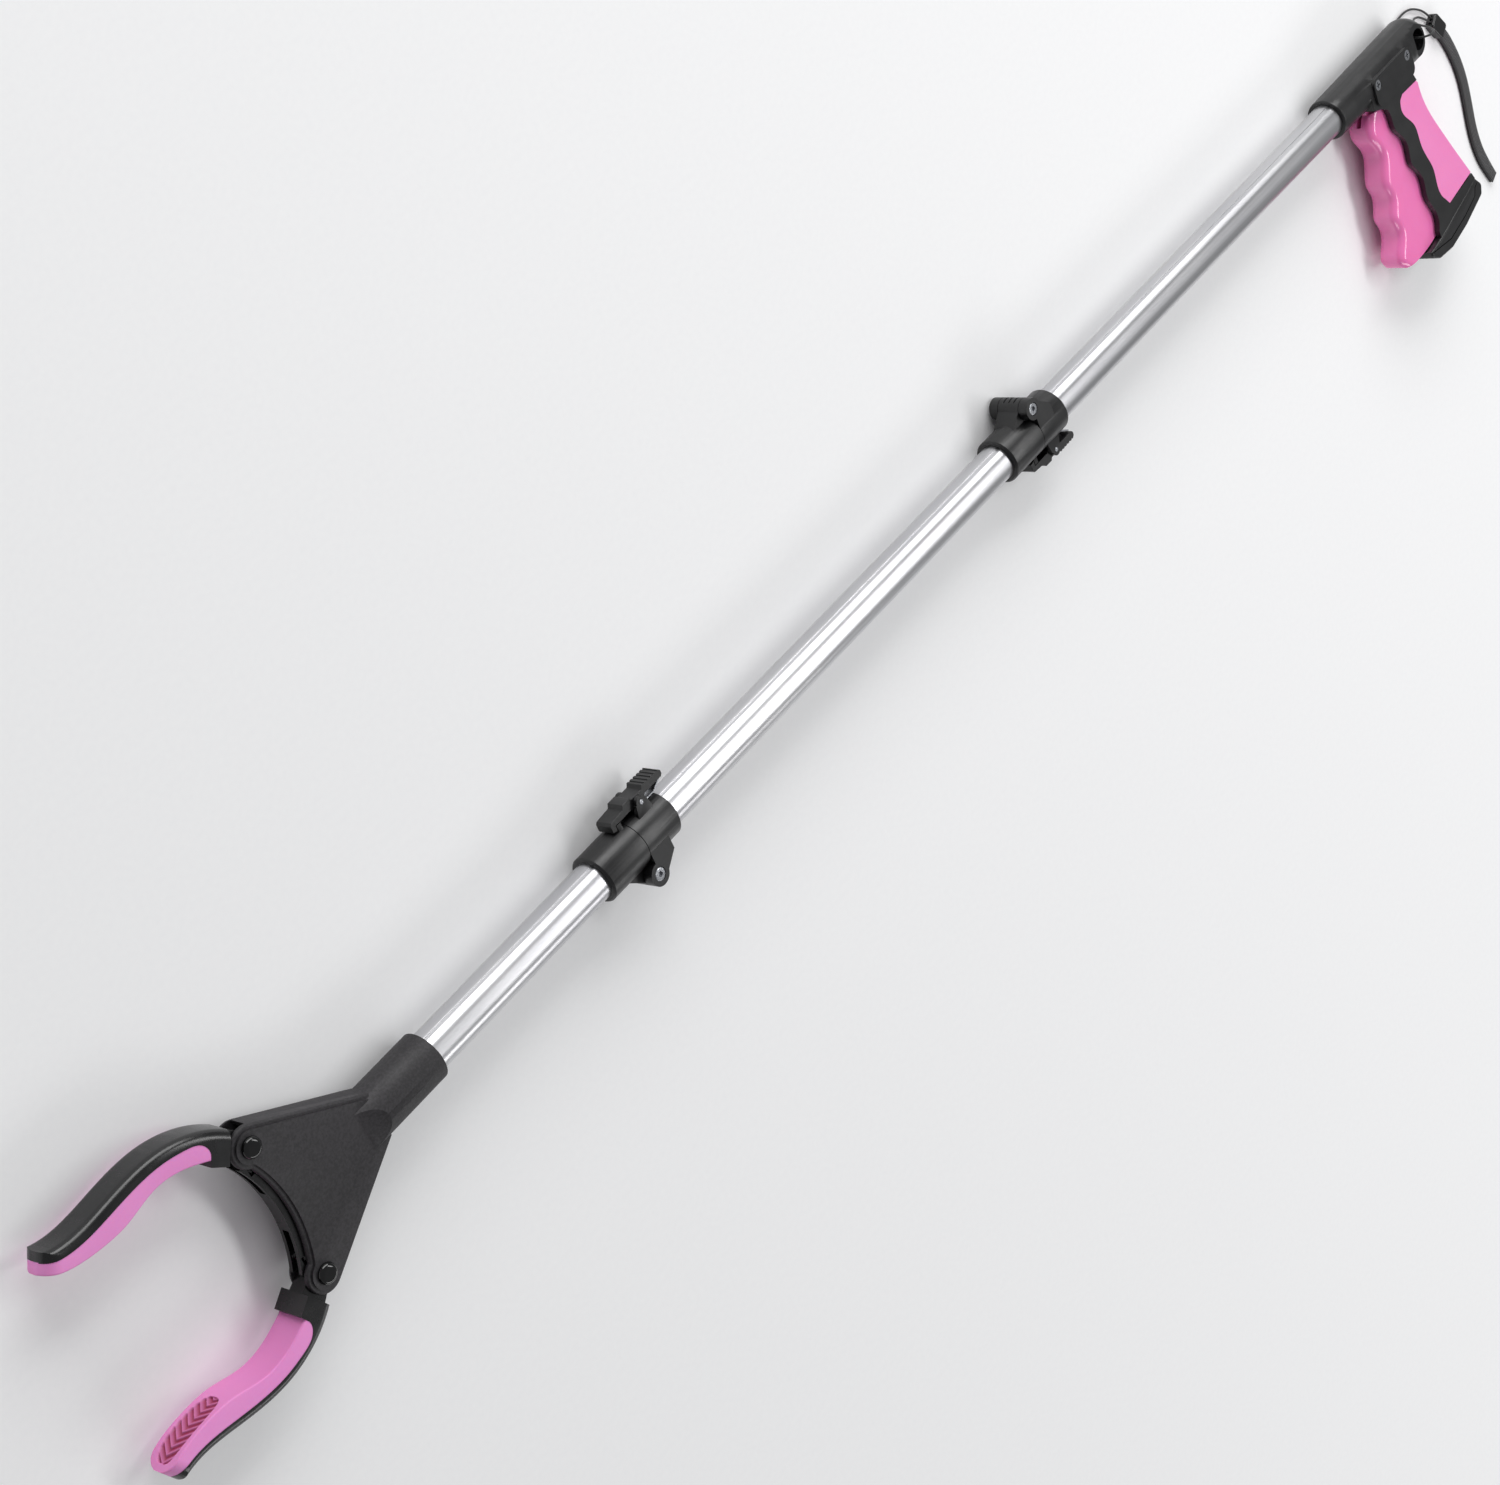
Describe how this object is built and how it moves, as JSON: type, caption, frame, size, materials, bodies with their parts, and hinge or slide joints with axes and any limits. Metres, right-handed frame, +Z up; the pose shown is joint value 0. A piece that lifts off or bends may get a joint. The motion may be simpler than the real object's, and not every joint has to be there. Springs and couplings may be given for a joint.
{
  "type": "reacher grabber",
  "caption": "Folding reacher grabber: aluminium tubes with latched fold joints, pistol handle with trigger, turning head with spring-opened jaws.",
  "frame": {"origin": "on the flat lower cheek of the handle, on the surface the tool lies on, below the tubes' axis and midway between the shell screws", "axes": "+X along the tubes towards the jaws, +Y the side the grip hangs on, +Z up"},
  "size_m": [1.1463, 0.1958, 0.0276],
  "materials": {
    "black_abs": "satin moulded",
    "pink_rubber": "soft matte",
    "pink_gloss": "glossy moulded",
    "white_nylon": "natural nylon",
    "aluminium": "satin anodised",
    "steel": "zinc plated",
    "magnet": "nickel plated",
    "black_webbing": "woven nylon"
  },
  "bodies": {
    "handle": {"handle_shell_upper": "black_abs", "handle_shell_lower": "black_abs", "handle_screws": "steel", "grip_insert": "pink_rubber", "butt_cap": "black_abs", "upper_tube": "aluminium", "rear_collar_1": "black_abs", "fold_screw_1": "steel", "fold_nut_1": "steel", "latch_pin_1": "steel", "latch_spring_1": "steel", "strap_string": "black_webbing", "strap_clamp": "black_abs", "strap_webbing": "black_webbing"},
    "trigger": {"trigger": "pink_gloss"},
    "pull_cable": {"cable_upper": "steel"},
    "link": {"pull_link": "steel"},
    "latch_1": {"latch_lever_1": "black_abs"},
    "middle_section": {"front_collar_1": "black_abs", "middle_tube": "aluminium", "rear_collar_2": "black_abs", "fold_screw_2": "steel", "fold_nut_2": "steel", "latch_pin_2": "steel", "latch_spring_2": "steel"},
    "middle_cable": {"cable_middle": "steel"},
    "latch_2": {"latch_lever_2": "black_abs"},
    "lower_section": {"front_collar_2": "black_abs", "lower_tube": "aluminium", "swivel_bush": "white_nylon"},
    "lower_cable": {"cable_lower": "steel", "cable_ferrule": "steel"},
    "jaw_head": {"head_shell_upper": "black_abs", "head_shell_lower": "black_abs", "jaw_rivets": "black_abs", "return_spring": "steel"},
    "yoke_slider": {"yoke": "black_abs"},
    "jaw_arm_a": {"jaw_a": "black_abs", "jaw_pad_a": "pink_rubber"},
    "jaw_arm_b": {"jaw_b": "black_abs", "jaw_pad_b": "pink_rubber", "magnet": "magnet"}
  },
  "joints": [
    {"name": "trigger_squeeze", "type": "hinge", "parent": "handle", "child": "trigger", "pos_m": [0.0183, -0.001, 0.0135], "axis": [0, 0, 1], "range_deg": [0, 18], "stiffness_Nm_per_rad": 1.5, "springref_deg": -8.59},
    {"name": "cable_pull", "type": "slide", "parent": "handle", "child": "pull_cable", "axis": [-1, 0, 0], "range_m": [0, 0.005]},
    {"name": "link_swing", "type": "hinge", "parent": "pull_cable", "child": "link", "pos_m": [0.042, 0, 0.0135], "axis": [0, 0, 1], "range_deg": [0, 4.7]},
    {"name": "fold_1", "type": "hinge", "parent": "handle", "child": "middle_section", "pos_m": [0.375, -0.015, 0.0135], "axis": [0, 0, -1], "range_deg": [0, 177]},
    {"name": "latch_1_press", "type": "hinge", "parent": "handle", "child": "latch_1", "pos_m": [0.364, 0.0158, 0.0135], "axis": [0, 0, 1], "range_deg": [0, 12], "stiffness_Nm_per_rad": 0.3, "springref_deg": -5.73, "deforming": ["latch_spring_1"]},
    {"name": "middle_cable_pull", "type": "slide", "parent": "middle_section", "child": "middle_cable", "axis": [-1, 0, 0], "range_m": [0, 0.005]},
    {"name": "fold_2", "type": "hinge", "parent": "middle_section", "child": "lower_section", "pos_m": [0.7025, 0.015, 0.0135], "axis": [0, 0, 1], "range_deg": [0, 168]},
    {"name": "latch_2_press", "type": "hinge", "parent": "middle_section", "child": "latch_2", "pos_m": [0.6915, -0.0158, 0.0135], "axis": [0, 0, -1], "range_deg": [0, 12], "stiffness_Nm_per_rad": 0.3, "springref_deg": -5.73, "deforming": ["latch_spring_2"]},
    {"name": "lower_cable_pull", "type": "slide", "parent": "lower_section", "child": "lower_cable", "axis": [-1, 0, 0], "range_m": [0, 0.005]},
    {"name": "head_swivel", "type": "hinge", "parent": "lower_section", "child": "jaw_head", "pos_m": [0.842, 0, 0.0135], "axis": [1, 0, 0], "range_deg": [-90, 90]},
    {"name": "yoke_pull", "type": "slide", "parent": "jaw_head", "child": "yoke_slider", "axis": [-1, 0, 0], "range_m": [0, 0.005], "deforming": ["return_spring"]},
    {"name": "jaw_a_close", "type": "hinge", "parent": "jaw_head", "child": "jaw_arm_a", "pos_m": [0.9325, -0.0342, 0.0135], "axis": [0, 0, 1], "range_deg": [0, 34]},
    {"name": "jaw_b_close", "type": "hinge", "parent": "jaw_head", "child": "jaw_arm_b", "pos_m": [0.9325, 0.0342, 0.0135], "axis": [0, 0, -1], "range_deg": [0, 26]}
  ],
  "couplings": [
    {"joint": "cable_pull", "follows": "trigger_squeeze", "m_per_rad": 0.015915},
    {"joint": "middle_cable_pull", "follows": "trigger_squeeze", "m_per_rad": 0.015915},
    {"joint": "lower_cable_pull", "follows": "trigger_squeeze", "m_per_rad": 0.015915},
    {"joint": "yoke_pull", "follows": "trigger_squeeze", "m_per_rad": 0.015915},
    {"joint": "link_swing", "follows": "trigger_squeeze", "ratio": 0.258},
    {"joint": "jaw_a_close", "follows": "trigger_squeeze", "ratio": 1.8888},
    {"joint": "jaw_b_close", "follows": "trigger_squeeze", "ratio": 1.4444}
  ]
}
